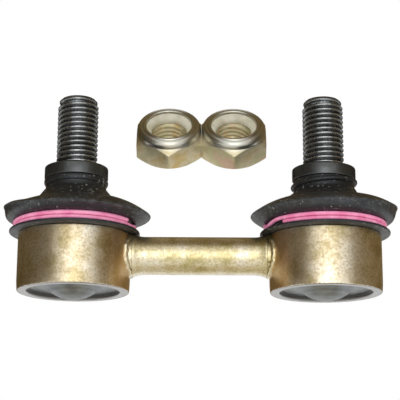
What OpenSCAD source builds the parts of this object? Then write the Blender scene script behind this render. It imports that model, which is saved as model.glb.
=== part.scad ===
// Short stabilizer link: two ball joints on one welded bar, with the two lock nuts laid out beside it.
// Millimetres. +Z runs up the studs, +X along the bar, and z = 0 is the plane of the two housing rims.
// Each joint is built round its own axis from the rim upwards, so every piece takes its place from
// the one that carries it.

/* [Link bar] */
// Distance between the two stud axes
stud_spacing = 63; // [58:0.5:110]
// Diameter of the bar
bar_d = 9.5; // [7:0.1:12]
// Radius that the upset collar at each bar end stands out
bar_upset = 0.3; // [0.2:0.1:1.5]
// Width of the upset collar's edge
bar_collar_w = 0.4; // [0.2:0.1:1]
// Length over which the collar tapers down to the bar
bar_taper = 1.7; // [0.8:0.1:4]
// Thickness of the weld between bar and housing
weld_t = 0.6; // [0.3:0.1:1.2]
// Radius that the weld stands out from the bar
weld_bulge = 0.2; // [0.1:0.1:0.8]
// Gap between the top of the bar's collar and the boot bead
bar_gap = 0.1; // [0.1:0.05:0.6]

/* [Housing] */
// Wall of the housing outside its bore
housing_wall = 3.55; // [2.8:0.05:5]
// Depth of the rolled rim below the end plug
rim_h = 1.2; // [1:0.1:2.4]
// Radius by which the rolled rim grips the end plug
rim_grip = 0.65; // [0.4:0.05:1]
// Chamfer on the rim's edges
rim_chamfer = 0.5; // [0.2:0.1:0.8]
// Height of the roof over the ball seat
housing_roof = 4; // [3.6:0.1:6]
// Depth of the groove that holds the boot
groove_depth = 1.5; // [1:0.1:2]
// Height of the flange above that groove
flange_t = 0.9; // [0.6:0.1:1.5]
// Radius that the flange stands out of the groove
flange_out = 0.6; // [0.3:0.1:0.9]
// Height of the groove that holds the boot
groove_h = 3; // [2.4:0.1:3.4]

/* [End plug] */
// Thickness of the end plug's flat edge
plug_t = 1.4; // [1:0.1:2]
// Thickness of the plug's dome
dome_t = 1.2; // [0.8:0.1:1.6]
// Distance that the dome stays inside the rim's plane
dome_inset = 0.2; // [0.1:0.1:1]
// Width of the ledge that the plug rests on
plug_ledge = 1.6; // [1:0.1:2]
// Room for grease between ball and dome
grease_gap = 0.9; // [0.5:0.1:1.5]

/* [Ball stud] */
// Diameter of the ball
ball_d = 15; // [13.5:0.1:17]
// Largest tilt of the stud, to each side
swing = 17; // [10:0.5:18]
// Diameter of the neck above the ball
neck_d = 10; // [8:0.1:10.6]
// Distance from the ball's centre to the underside of the collar
neck_len = 19.1; // [18:0.1:26]
// Diameter of the seat for the boot, under the collar
boot_seat_d = 13; // [11.5:0.1:14]
// Height of that seat
boot_seat_h = 5.6; // [5:0.1:7]
// Height of the cone between neck and boot seat
neck_cone_h = 5; // [3:0.1:6]
// Diameter of the collar that seats on the bracket
collar_d = 16.1; // [15:0.1:22]
// Height of the collar
collar_h = 3.1; // [2:0.1:5]
// Edge rounding on the collar, cut as a chamfer
collar_chamfer = 0.4; // [0.2:0.1:0.8]
// Outside diameter of the thread
thread_d = 10; // [8:0.5:11]
// Length from the collar to the tip
thread_len = 18.4; // [14:0.1:30]
// Chamfer at the tip
tip_chamfer = 0.8; // [0.4:0.1:1.2]

/* [Ball seat] */
// Wall of the plastic seat outside the ball
seat_wall = 2.9; // [2.2:0.1:4]
// Height of the seat's lip above its opening
seat_lip = 0.9; // [0.6:0.1:1.4]
// Width of the grease slots in the lower seat
slot_w = 1.2; // [0.8:0.1:2]
// Number of grease slots in the lower seat
slots = 4; // [2:1:6]

/* [Boot] */
// Wall of the boot
boot_wall = 1.8; // [1.4:0.1:2.2]
// Radius that the lower bead stands out of the housing
bead_out = 2.3; // [1.6:0.1:3]
// Height of the lower bead
bead_h = 0.9; // [0.8:0.1:2]
// Edge radius of the lower bead
bead_edge = 0.35; // [0.2:0.05:0.5]
// Radius that the skirt stands out of the clip's seat
skirt_out = 4; // [3:0.1:6]
// Height of the skirt's edge above the clip
skirt_rise = 2.1; // [1.8:0.1:3.4]
// Wall of the boot where it grips the stud
grip_wall = 1.2; // [0.9:0.1:1.8]
// Radius that the top bead stands out of the boot's neck
top_bead_out = 0.4; // [0.3:0.05:1]
// Height of the top bead
top_bead_h = 1.6; // [1:0.1:2]
// Height of the neck between the top bead and the crown
boot_neck_h = 3.95; // [3:0.05:4.6]

/* [Boot clip] */
// Diameter of the clip's wire
wire_d = 1.05; // [0.8:0.05:1.3]
// Arc over which the wire steps up to its second turn, in degrees
clip_step = 30; // [20:1:45]
// Arc left open at each of the wire's ends, in degrees
clip_open = 6; // [4:1:12]
// Direction of the left wire's lower end, from +X towards +Y
left_clip_turn = 16; // [0:1:360]
// Direction of the right wire's lower end
right_clip_turn = 223; // [0:1:360]

/* [Lock nut] */
// Width of the nut across its flats
nut_af = 17; // [16:0.5:19]
// Height of the hexagon
hex_h = 6; // [5.4:0.1:8]
// Height of the round edge above the hexagon
roll_h = 2.4; // [1.8:0.1:3]
// Depth of the nut's thread
thread_depth = 0.675; // [0.4:0.025:0.9]
// Radius that the rolled edge's opening clears the thread by
mouth_gap = 0.7; // [0.4:0.05:1]
// Radius by which the rolled edge covers the insert
roll_grip = 0.9; // [0.5:0.05:1.1]
// Step from the hexagon's flats in to the round edge
roll_step = 0.1; // [0.1:0.05:0.5]
// Height of the round edge's straight wall, before it rolls in
roll_wall = 0.7; // [0.3:0.1:1]
// Chamfer at the hexagon's upper corners, measured along the axis
nut_chamfer = 0.6; // [0.4:0.1:1.2]
// Chamfer at its lower corners
foot_chamfer = 0.3; // [0.2:0.1:1]
// Thickness of the rolled edge
roll_t = 0.9; // [0.6:0.1:1.2]
// Radius by which the nylon insert bites the thread
insert_bite = 0.35; // [0.2:0.05:0.5]
// Height of the nylon insert
insert_h = 2.2; // [1.6:0.1:2.4]

/* [Nut layout] */
// Tilt of the two loose nuts towards the front
nut_tilt = 53; // [0:1:80]
// Gap between the two loose nuts
nut_gap = 0.1; // [0.1:0.1:5]
// Place of the nuts' midpoint along the bar
nut_x = 0.3; // [-0.5:0.1:0.5]
// Place of the nuts behind the studs
nut_y = 13.8; // [13.8:0.1:40]
// Height of the nuts' lower faces at their middle
nut_z = 41.3; // [36:0.1:60]

/* [Hidden] */
// Clearances: ball in its seat, pieces that turn or push in, and rubber against what it grips
ball_gap = 0.05;
fit_gap = 0.08;
rubber_gap = 0.05;
throat_gap = 0.9;
open_gap = 0.35;
insert_gap = 0.05;

// Radii of the housing and what it holds, from the ball outwards
ball_r = ball_d / 2;
seat_in_r = ball_r + ball_gap;
seat_r = seat_in_r + seat_wall;
bore_r = seat_r + fit_gap;
housing_r = bore_r + housing_wall;
plug_r = bore_r + plug_ledge;
rim_r = plug_r - rim_grip;
dome_in_r = ball_r + grease_gap;
dome_r = dome_in_r + dome_t;

// Heights from the rim upwards
ball_z = dome_inset + dome_r;
plug_top = rim_h + plug_t;
neck_r = neck_d / 2;
boot_seat_r = boot_seat_d / 2;
collar_z = ball_z + neck_len;
thread_z = collar_z + collar_h;
tip_z = thread_z + thread_len;

// The stud's neck at full swing, as radius and height from the ball's centre
function swung(p) = [p.x * cos(swing) + p.y * sin(swing), p.y * cos(swing) - p.x * sin(swing)];
neck_foot = swung([neck_r, sqrt(ball_r * ball_r - neck_r * neck_r)]);
cone_foot = swung([neck_r, neck_len - boot_seat_h - neck_cone_h]);
cone_head = swung([boot_seat_r, neck_len - boot_seat_h]);
function reach(h) = lookup(h, [for (p = [neck_foot, cone_foot, cone_head]) [p.y, p.x]]);

// The seat stops short of the swung neck, and the roof's throat opens round it
open_h = neck_foot.y - open_gap;
open_r = sqrt(seat_in_r * seat_in_r - open_h * open_h);
seat_top_h = open_h + seat_lip;
roof_h = seat_top_h + fit_gap;
housing_top = ball_z + roof_h + housing_roof;
throat_low_r = reach(roof_h) + throat_gap;
throat_top_r = reach(roof_h + housing_roof) + throat_gap;
groove_top = housing_top - flange_t;
shoulder_z = groove_top - groove_h;
groove_r = housing_r - groove_depth;
flange_r = groove_r + flange_out;

// The boot from its foot on the housing's shoulder to the collar
boot_z = shoulder_z + rubber_gap;
boot_in_r = groove_r + rubber_gap;
clip_seat_r = boot_in_r + boot_wall;
clip_z = boot_z + bead_h;
clip_pitch = wire_d + rubber_gap;
clip_seat_top = clip_z + clip_pitch + wire_d + 2 * rubber_gap;
bead_c = [housing_r + bead_out - bead_edge, clip_z - bead_edge];
bead_foot = bead_c + bead_edge * [cos(70), -sin(70)];
skirt_r = clip_seat_r + skirt_out;
skirt_z = clip_seat_top + skirt_rise;
boot_top = collar_z - rubber_gap;
grip_r = boot_seat_r + rubber_gap;
boot_neck_r = grip_r + grip_wall;
boot_neck_z = boot_top - top_bead_h;

// The bar hangs just under the boot bead, and welds to the housing's side
bead_slope = (bead_foot.y - boot_z) / (bead_foot.x - housing_r);
bar_r = bar_d / 2;
bar_collar_r = bar_r + bar_upset;
weld_r = bar_r + weld_bulge;
bar_z = boot_z + weld_t * bead_slope - bar_gap - bar_collar_r;
bar_half = stud_spacing / 2 - housing_r - weld_t;

// The nut's hexagon and the pocket for its insert
nut_r = nut_af / 2 / cos(30);
nut_bore_r = thread_d / 2 - thread_depth;
nut_mouth_r = thread_d / 2 + mouth_gap;
insert_pocket_r = nut_mouth_r + roll_grip;
insert_bore_r = thread_d / 2 - insert_bite;
roll_r = nut_af / 2 - roll_step;
nut_h = hex_h + roll_h;
pocket_top = nut_h - roll_t;
pocket_bottom = pocket_top - insert_h - 2 * insert_gap;
nut_step = (nut_af + nut_gap) / 2;

steel = "#3a3a38";
rubber = "#242424";
zinc_yellow = "#c9b483";
plug_grey = "#8e8f8a";
clip_pink = "#e07aa8";
plastic_white = "#e9e6da";

$fn = 96;

// Points on an arc, and on a cubic curve between two points
function arc(c, rx, rz, from, to, n) =
    [for (i = [0:n]) let (a = from + (to - from) * i / n) [c.x + rx * cos(a), c.y + rz * sin(a)]];
function curve(a, b, c, d, n) =
    [for (i = [0:n]) let (t = i / n, u = 1 - t)
        u * u * u * a + 3 * u * u * t * b + 3 * u * t * t * c + t * t * t * d];

// Puts a joint's piece on the left (-1) or right (1) stud axis
module at_joint(side) {
    translate([side * stud_spacing / 2, 0, 0]) children();
}

// Round bar with an upset collar at both ends
module link_bar() {
    color(zinc_yellow) translate([0, 0, bar_z]) rotate([0, 90, 0]) rotate_extrude() polygon([
        [0, -bar_half], [bar_collar_r, -bar_half], [bar_collar_r, bar_collar_w - bar_half],
        [bar_r, bar_collar_w + bar_taper - bar_half], [bar_r, bar_half - bar_taper - bar_collar_w],
        [bar_collar_r, bar_half - bar_collar_w], [bar_collar_r, bar_half], [0, bar_half]]);
}

// Weld that fills the space between the bar's flat end and the housing's round side
module weld(side) {
    color(zinc_yellow) difference() {
        translate([side * bar_half, 0, bar_z]) rotate([0, side * 90, 0])
            cylinder(r = weld_r, h = weld_t + housing_wall / 2);
        at_joint(side) cylinder(r = housing_r, h = housing_top);
    }
}

// Turned cup: rolled rim and plug pocket below, ball bore, roof with a flared throat, boot groove outside
module housing() {
    color(zinc_yellow) rotate_extrude() polygon([
        [rim_r + rim_chamfer, 0], [housing_r - rim_chamfer, 0], [housing_r, rim_chamfer],
        [housing_r, shoulder_z], [groove_r, shoulder_z], [groove_r, groove_top],
        [flange_r, groove_top], [flange_r, housing_top], [throat_top_r, housing_top],
        [throat_low_r, ball_z + roof_h], [bore_r, ball_z + roof_h], [bore_r, plug_top],
        [plug_r + insert_gap, plug_top], [plug_r + insert_gap, rim_h], [rim_r, rim_h],
        [rim_r, rim_chamfer]]);
}

// Pressed plate that closes the housing, with a dome that follows the ball
module end_plug() {
    color(plug_grey) difference() {
        union() {
            translate([0, 0, rim_h]) cylinder(r = plug_r, h = plug_t);
            intersection() {
                translate([0, 0, ball_z]) sphere(r = dome_r);
                cylinder(r = plug_r, h = plug_top - plug_t / 2);
            }
        }
        translate([0, 0, ball_z]) sphere(r = dome_in_r);
    }
}

// Lower half of the plastic seat, with grease slots, standing on the end plug
module lower_seat() {
    color(plastic_white) difference() {
        translate([0, 0, plug_top]) cylinder(r = seat_r, h = ball_z - plug_top - fit_gap / 2);
        translate([0, 0, ball_z]) sphere(r = seat_in_r);
        for (i = [0:slots - 1]) rotate([0, 0, 45 + 360 / slots * i])
            translate([0, -slot_w / 2, plug_top - 1]) cube([seat_in_r, slot_w, ball_z - plug_top]);
    }
}

// Upper half of the seat, which holds the ball down and opens for the swinging neck
module upper_seat() {
    color(plastic_white) difference() {
        translate([0, 0, ball_z + fit_gap / 2]) cylinder(r = seat_r, h = seat_top_h - fit_gap / 2);
        translate([0, 0, ball_z]) sphere(r = seat_in_r);
        translate([0, 0, ball_z + open_h])
            cylinder(r1 = open_r, r2 = open_r + seat_lip * tan(30), h = seat_lip);
        translate([0, 0, ball_z + seat_top_h]) cylinder(r = open_r + seat_lip * tan(30), h = 1);
    }
}

// Forged stud: ball, neck, boot seat, collar and the shank that carries the thread
module ball_stud() {
    color(steel) union() {
        translate([0, 0, ball_z]) sphere(r = ball_r);
        rotate_extrude() polygon([
            [0, ball_z], [neck_r, ball_z], [neck_r, collar_z - boot_seat_h - neck_cone_h],
            [boot_seat_r, collar_z - boot_seat_h], [boot_seat_r, collar_z],
            [collar_d / 2 - collar_chamfer, collar_z], [collar_d / 2, collar_z + collar_chamfer],
            [collar_d / 2, thread_z - collar_chamfer], [collar_d / 2 - collar_chamfer, thread_z],
            [thread_d / 2, thread_z], [thread_d / 2, tip_z - tip_chamfer],
            [thread_d / 2 - tip_chamfer, tip_z], [0, tip_z]]);
    }
}

// Rubber boot: bead on the housing, clip seat, flared skirt, crown, and a bead that grips the stud
module boot() {
    neck_fillet = 0.9;
    crown_end = [boot_neck_r + neck_fillet, boot_neck_z - boot_neck_h];
    inner_edge = [skirt_r - boot_wall * 1.5, skirt_z - 0.15];
    crown_in = [grip_r, crown_end.y - boot_wall * 0.75];
    color(rubber) rotate_extrude() polygon(concat(
        [[boot_in_r, boot_z], [housing_r, boot_z]],
        arc(bead_c, bead_edge, bead_edge, -70, 90, 6),
        [[clip_seat_r, clip_z], [clip_seat_r, clip_seat_top]],
        curve([clip_seat_r + 1, clip_seat_top], [clip_seat_r + 2.4, clip_seat_top + 0.3],
            [skirt_r - 0.6, skirt_z - 1], [skirt_r, skirt_z], 6),
        curve([skirt_r - 0.1, skirt_z + 0.15], [skirt_r - 2.2, skirt_z + 2.4],
            crown_end + [5.9, -0.85], crown_end, 10),
        arc(crown_end + [0, neck_fillet], neck_fillet, neck_fillet, 270, 180, 4),
        arc([boot_neck_r, boot_neck_z + top_bead_h / 2], top_bead_out, top_bead_h / 2, -90, 90, 8),
        [[grip_r, boot_top]],
        curve(crown_in, crown_in + [1.2, -0.4], inner_edge + [-1.4, 1.4], inner_edge, 8),
        [[flange_r + rubber_gap * 2, housing_top + rubber_gap * 4],
            [flange_r + rubber_gap * 2, groove_top - rubber_gap],
            [boot_in_r, groove_top - rubber_gap]]));
}

// Two turns of spring wire that press the boot into its groove, with a step up between the turns
module boot_clip(start) {
    sides = 8;
    steps = 112;
    step_from = 360 - clip_open - clip_step;
    last = 360 + step_from - clip_open;
    r = clip_seat_r + rubber_gap + wire_d / 2;
    low = clip_z + rubber_gap + wire_d / 2;
    rings = [for (i = [0:steps]) let (a = last * i / steps,
            z = low + lookup(a, [[step_from, 0], [step_from + clip_step, clip_pitch]]))
        for (k = [0:sides - 1]) let (w = 360 / sides * (k + 0.5), p = r + wire_d / 2 * cos(w))
            [p * cos(start + a), p * sin(start + a), z + wire_d / 2 * sin(w)]];
    walls = [for (i = [0:steps - 1], k = [0:sides - 1]) let (a = i * sides, b = (k + 1) % sides)
        each [[a + k, a + sides + k, a + b], [a + b, a + sides + k, a + sides + b]]];
    ends = [[for (k = [0:sides - 1]) k], [for (k = [sides - 1:-1:0]) steps * sides + k]];
    color(clip_pink) polyhedron(rings, concat(walls, ends));
}

// Hexagon nut with chamfered corners and a round edge rolled over its insert
module nut() {
    dome_w = roll_r - nut_mouth_r - roll_t / 2;
    lead_in = 0.3;
    color(zinc_yellow) difference() {
        union() {
            intersection() {
                rotate([0, 0, 30]) cylinder(r = nut_r, h = hex_h + roll_step, $fn = 6);
                rotate_extrude() polygon([[0, 0], [nut_af / 2, 0], [nut_r, foot_chamfer],
                    [nut_r, hex_h - nut_chamfer], [roll_r, hex_h + roll_step], [0, hex_h + roll_step]]);
            }
            rotate_extrude() polygon(concat([[nut_bore_r, hex_h / 2], [roll_r, hex_h / 2]],
                arc([roll_r - dome_w, hex_h + roll_wall], dome_w, roll_h - roll_wall, 0, 90, 8),
                [[nut_mouth_r, nut_h - roll_t / 3], [nut_mouth_r, pocket_bottom],
                    [nut_bore_r, pocket_bottom]]));
        }
        translate([0, 0, -1]) cylinder(r = nut_bore_r, h = nut_h + 1);
        cylinder(r1 = thread_d / 2 + lead_in, r2 = nut_bore_r, h = thread_depth + lead_in);
        translate([0, 0, pocket_bottom]) cylinder(r = insert_pocket_r, h = pocket_top - pocket_bottom);
    }
}

// Nylon ring in the nut's pocket, with its inner edges broken
module nut_insert() {
    edge = 0.4;
    color(plastic_white) rotate_extrude() translate([0, pocket_bottom + insert_gap]) polygon([
        [insert_bore_r + edge, 0], [insert_pocket_r - insert_gap, 0],
        [insert_pocket_r - insert_gap, insert_h], [insert_bore_r + edge, insert_h],
        [insert_bore_r, insert_h - edge], [insert_bore_r, edge]]);
}

// Puts a nut's piece in its loose place between and behind the studs, rolled edge up
module at_nut(side) {
    translate([nut_x + side * nut_step, nut_y, nut_z]) rotate([nut_tilt, 0, 0]) children();
}

link_bar();
weld(-1);  // left_weld
weld(1);  // right_weld
at_joint(-1) housing();  // left_housing
at_joint(1) housing();  // right_housing
at_joint(-1) end_plug();  // left_end_plug
at_joint(1) end_plug();  // right_end_plug
at_joint(-1) lower_seat();  // left_lower_seat
at_joint(1) lower_seat();  // right_lower_seat
at_joint(-1) upper_seat();  // left_upper_seat
at_joint(1) upper_seat();  // right_upper_seat
at_joint(-1) ball_stud();  // left_ball_stud
at_joint(1) ball_stud();  // right_ball_stud
at_joint(-1) boot();  // left_boot
at_joint(1) boot();  // right_boot
at_joint(-1) boot_clip(left_clip_turn);  // left_boot_clip
at_joint(1) boot_clip(right_clip_turn);  // right_boot_clip
at_nut(-1) nut();  // left_nut
at_nut(1) nut();  // right_nut
at_nut(-1) nut_insert();  // left_nut_insert
at_nut(1) nut_insert();  // right_nut_insert
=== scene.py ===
import math

import bmesh
import bpy
from mathutils import Matrix, Vector


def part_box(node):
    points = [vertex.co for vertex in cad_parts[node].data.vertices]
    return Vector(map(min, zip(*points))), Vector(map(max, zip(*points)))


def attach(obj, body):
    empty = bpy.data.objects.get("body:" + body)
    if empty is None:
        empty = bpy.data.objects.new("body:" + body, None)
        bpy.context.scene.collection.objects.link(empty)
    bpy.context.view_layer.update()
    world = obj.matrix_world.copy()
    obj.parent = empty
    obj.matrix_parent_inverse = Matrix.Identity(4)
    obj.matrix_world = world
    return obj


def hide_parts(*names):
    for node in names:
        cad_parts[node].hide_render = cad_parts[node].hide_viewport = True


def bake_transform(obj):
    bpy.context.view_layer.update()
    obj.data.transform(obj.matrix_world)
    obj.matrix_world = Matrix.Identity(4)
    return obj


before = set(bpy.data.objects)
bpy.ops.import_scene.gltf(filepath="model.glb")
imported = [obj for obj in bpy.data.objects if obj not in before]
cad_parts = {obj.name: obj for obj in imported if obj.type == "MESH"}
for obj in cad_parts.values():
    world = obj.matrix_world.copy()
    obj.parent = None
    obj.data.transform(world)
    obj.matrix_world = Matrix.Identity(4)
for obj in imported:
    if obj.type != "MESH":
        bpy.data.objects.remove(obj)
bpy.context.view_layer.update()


# Link bar
# A short round steel bar, upset into a low flare at both ends where the welding press gripped it.
# It is zinc plated and yellow passivated together with the housings, and a weld at each end holds it.
# Sizes are in mm and angles in degrees; only the floor, the lamps and the cards are in metres.
MM = 0.001
SIDES = {"left": -1, "right": 1}
COLUMNS = 90
bar_low, bar_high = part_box("link_bar")
BAR_AXIS = (bar_low.z + bar_high.z) / 2 / MM
BAR_HALF = bar_high.x / MM
BAR_R = 4.75
FLARE_R = 5.3
FLARE_EDGE = 0.4
FLARE_LENGTH = 2.9
FLARE_STEPS = 8
BAR_EDGE = 0.15
SAME_PLACE = 0.002
CRISP = 38


def ring(radius, height, angles=None):
    """One row of points round the axis in mm, or a single point where the radius is nothing."""
    if radius == 0:
        return [(0, 0, height)]
    angles = angles or [2 * math.pi * k / COLUMNS for k in range(COLUMNS)]
    return [(radius * math.cos(a), radius * math.sin(a), height) for a in angles]


def skin(name, chains, place, material, loop=False, grown=None, sharp=CRISP):
    """A piece from chains of rows in mm, each row a ring or a pole, joined to a mesh already grown."""
    build = bmesh.new()
    for rows in chains:
        made = [[build.verts.new([c * MM for c in p]) for p in row] for row in rows]
        pairs = list(zip(made, made[1:]))
        if loop:
            pairs.append((made[-1], made[0]))
        for low, high in pairs:
            for k in range(max(len(low), len(high))):
                n = k + 1
                around = (low[k % len(low)], low[n % len(low)], high[n % len(high)], high[k % len(high)])
                build.faces.new(list(dict.fromkeys(around)))
    if grown:
        build.from_mesh(grown)
        bmesh.ops.remove_doubles(build, verts=build.verts, dist=SAME_PLACE * MM)
    bmesh.ops.recalc_face_normals(build, faces=build.faces)
    mesh = bpy.data.meshes.new(name)
    build.to_mesh(mesh)
    build.free()
    mesh.transform(place)
    return shown(name, mesh, material, sharp)


def shown(name, mesh, material, sharp=CRISP):
    """Puts a finished mesh into the scene as a smooth piece whose edges above an angle stay crisp."""
    mesh.shade_smooth()
    mesh.set_sharp_from_angle(angle=math.radians(sharp))
    mesh.materials.clear()
    mesh.materials.append(material)
    piece = bpy.data.objects.new(name, mesh)
    bpy.context.scene.collection.objects.link(piece)
    return piece


def linear(colour):
    """A hex sRGB colour as linear red, green, blue and alpha."""
    parts = [int(colour[i:i + 2], 16) / 255 for i in (1, 3, 5)]
    return [p / 12.92 if p <= 0.04045 else ((p + 0.055) / 1.055) ** 2.4 for p in parts] + [1.0]


def per(size):
    """The scale that gives a pattern features of that size in mm."""
    return 1 / (size * MM)


def feed(tree, node, inputs):
    """Sets a node's inputs, each to a value or to another node's output."""
    for key, value in inputs.items():
        if isinstance(value, bpy.types.NodeSocket):
            tree.links.new(value, node.inputs[key])
        else:
            node.inputs[key].default_value = value


def add_node(tree, kind, inputs, **settings):
    """Adds a node with its settings and inputs, and gives its outputs."""
    node = tree.nodes.new(kind)
    for key, value in settings.items():
        if key == "stops":
            for element, (at, colour) in zip([*node.color_ramp.elements], value):
                element.position, element.color = at, linear(colour)
            for at, colour in value[2:]:
                node.color_ramp.elements.new(at).color = linear(colour)
        else:
            setattr(node, key, value)
    feed(tree, node, inputs)
    return node.outputs


def new_finish(name, **uniform):
    """A new material with its node tree, its shader and the object's own coordinates."""
    made = bpy.data.materials.new(name)
    made.use_nodes = True
    tree = made.node_tree
    shader = tree.nodes["Principled BSDF"]
    feed(tree, shader, {key.replace("_", " "): value for key, value in uniform.items()})
    return made, tree, shader, add_node(tree, "ShaderNodeTexCoord", {})["Object"]


# Yellow passivated zinc: a bright electroplated layer under a thin clear chromate film. The film gives
# pale champagne where it is clear, with cloudy straw and olive patches and fine dark pits.
def yellow_zinc(name, dull_film, film_colour, clear_film):
    """The plated finish: material, tree, shader, place, colour and fine mottle, for layers on top."""
    made, tree, shader, place = new_finish(name, Metallic=1.0, Coat_Weight=1.0, Coat_Roughness=0.25)
    cloud = add_node(tree, "ShaderNodeTexNoise", {
        "Vector": place, "Scale": per(6), "Detail": 3.0, "Roughness": 0.55})
    film = add_node(tree, "ShaderNodeValToRGB", {
        "Fac": cloud["Fac"]}, stops=[(0.36, dull_film), (0.5, film_colour), (0.64, clear_film)])
    mottle = add_node(tree, "ShaderNodeTexNoise", {
        "Vector": place, "Scale": per(0.55), "Detail": 4.0, "Roughness": 0.7})
    pits = add_node(tree, "ShaderNodeValToRGB", {
        "Fac": mottle["Fac"]}, stops=[(0.36, "#9c8c62"), (0.56, "#ffffff")])
    pitted = add_node(tree, "ShaderNodeMix", {
        0: 0.5, 6: film["Color"], 7: pits["Color"]}, data_type="RGBA", blend_type="MULTIPLY")
    dull = add_node(tree, "ShaderNodeMapRange", {
        "Value": mottle["Fac"], "From Min": 0.3, "From Max": 0.7, "To Min": 0.44, "To Max": 0.32})
    uneven = add_node(tree, "ShaderNodeBump", {
        "Height": mottle["Fac"], "Strength": 0.4, "Distance": 0.05 * MM})
    feed(tree, shader, {
        "Base Color": pitted[2], "Roughness": dull["Result"], "Normal": uneven["Normal"]})
    return made, tree, shader, place, pitted[2], mottle["Fac"]


zinc = yellow_zinc("yellow_passivated_zinc", "#c2b47c", "#dfd3ad", "#ebe3cc")[0]

flare = []
for i in range(FLARE_STEPS + 1):
    t = i / FLARE_STEPS
    swell = (1 - t) ** 2
    flare.append((BAR_R + (FLARE_R - BAR_R) * swell, BAR_HALF - FLARE_EDGE - FLARE_LENGTH * t))
bar_end = [(0, BAR_HALF), (FLARE_R - BAR_EDGE, BAR_HALF), (FLARE_R, BAR_HALF - BAR_EDGE), *flare]
bar_profile = bar_end + [(r, -x) for r, x in reversed(bar_end)]
along_x = Matrix.Translation((0, 0, BAR_AXIS * MM)) @ Matrix.Rotation(math.pi / 2, 4, "Y")
link_bar = skin("link_bar_round", [[ring(r, x) for r, x in bar_profile]], along_x, zinc)
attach(link_bar, "link")
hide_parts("link_bar")


# Housings
# Two turned steel cups that hold the ball seats: bore, roof with a flared throat, groove for the boot.
# The lower edge is rolled in over the end plug, which leaves a slight taper above the rim.
JOINT_X = 31.5
HOUSING_R = 14.08
SHOULDER_Z = 14.414
GROOVE_R = 12.58
FLANGE_R = 13.18
HOUSING_TOP = 18.314
RIM_R = 11.48
PLUG_POCKET_R = 12.18
BORE_R = 10.53
RIM_H = 1.2
RIM_FLAT_R = 12.8
RIM_EDGE_R = 13.92
TAPER_TOP = 2.3
PLUG_SEAT = 2.6
GROOVE_TOP = 17.414
ROOF_Z = 14.314
THROAT_R = 7.51
THROAT_TOP_R = 9.4
HEAT_FROM = 17.6
HEAT_TO = 23.5
GREY_RIM_R = 12.5
GREY_RIM_Z = (0.3, 0.5)


def eased(corners, steps=4):
    """Points of a profile from (radius, height, rounding) corners; both ends keep their place."""
    # No rounding takes more than this share of an edge.
    most = 0.48
    points = [Vector(corners[0][:2])]
    for before, here, after in zip(corners, corners[1:], corners[2:]):
        middle = Vector(here[:2])
        towards = [Vector(c[:2]) - middle for c in (before, after)]
        cut = min(here[2], *(most * t.length for t in towards))
        start, end = (middle + t.normalized() * cut for t in towards)
        for i in range(steps + 1):
            t = i / steps
            points.append(start * (1 - t) ** 2 + middle * 2 * t * (1 - t) + end * t ** 2)
    points.append(Vector(corners[-1][:2]))
    return [tuple(p) for p in points]


def round_joint(tree, place):
    """How far a point lies from the link's middle, above the rim and from its own joint's axis."""
    axes = add_node(tree, "ShaderNodeSeparateXYZ", {"Vector": place})
    across = add_node(tree, "ShaderNodeMath", {0: axes["X"]}, operation="ABSOLUTE")
    from_axis = add_node(tree, "ShaderNodeMath", {0: across[0], 1: JOINT_X * MM}, operation="SUBTRACT")
    plan = add_node(tree, "ShaderNodeCombineXYZ", {"X": from_axis[0], "Y": axes["Y"]})
    out = add_node(tree, "ShaderNodeVectorMath", {0: plan[0]}, operation="LENGTH")
    return across[0], axes["Z"], out["Value"]


# The same plating on the cups. The heat of welding leaves a brown tint beside the bar, which fades
# round the side.
housing_zinc, tree, shader, place, plated, mottle = yellow_zinc(
    "heat_tinted_yellow_zinc", "#bfae80", "#e3d5b6", "#f3ead6")
across, height, out = round_joint(tree, place)
heat = add_node(tree, "ShaderNodeMapRange", {
    "Value": across, "From Min": HEAT_FROM * MM, "From Max": HEAT_TO * MM, "To Min": 0.75, "To Max": 0.0},
    interpolation_type="SMOOTHSTEP")
heated = add_node(tree, "ShaderNodeMix", {
    0: heat["Result"], 6: plated, 7: linear("#dcb478")}, data_type="RGBA")
# The rolled rim is grey instead of yellow, inside and below, with a ragged edge.
ragged = add_node(tree, "ShaderNodeMath", {0: mottle, 1: 0.5 * MM, 2: height}, operation="MULTIPLY_ADD")
low_grey = add_node(tree, "ShaderNodeMapRange", {
    "Value": ragged[0], "From Min": GREY_RIM_Z[0] * MM, "From Max": GREY_RIM_Z[1] * MM, "To Min": 1.0,
    "To Max": 0.0})
inner_grey = add_node(tree, "ShaderNodeMath", {0: out, 1: GREY_RIM_R * MM}, operation="LESS_THAN")
grey_rim = add_node(tree, "ShaderNodeMath", {0: low_grey["Result"], 1: inner_grey[0]}, operation="MAXIMUM")
coated = add_node(tree, "ShaderNodeMix", {
    0: grey_rim[0], 6: heated[2], 7: linear("#747371")}, data_type="RGBA")
feed(tree, shader, {"Base Color": coated[2]})

housing_corners = [
    (RIM_R, RIM_H, 0), (RIM_R, 0.0, 0.5), (RIM_FLAT_R, 0.0, 0.3), (RIM_EDGE_R, 0.0, 0.35),
    (HOUSING_R, TAPER_TOP, 0.8), (HOUSING_R, SHOULDER_Z, 0.2), (GROOVE_R, SHOULDER_Z, 0.1),
    (GROOVE_R, GROOVE_TOP, 0.1), (FLANGE_R, GROOVE_TOP, 0.15), (FLANGE_R, HOUSING_TOP, 0.2),
    (THROAT_TOP_R, HOUSING_TOP, 0.2), (THROAT_R, ROOF_Z, 0.1), (BORE_R, ROOF_Z, 0.2),
    (BORE_R, PLUG_SEAT, 0.05), (PLUG_POCKET_R, PLUG_SEAT, 0.05), (PLUG_POCKET_R, RIM_H, 0)]
joint_place = {side: Matrix.Translation((sign * JOINT_X * MM, 0, 0)) for side, sign in SIDES.items()}
for side in SIDES:
    rows = [ring(r, z) for r, z in eased(housing_corners, 5)]
    housing = skin(f"{side}_housing_cup", [rows], joint_place[side], housing_zinc, loop=True)
    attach(housing, "link")
    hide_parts(f"{side}_housing")


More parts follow.
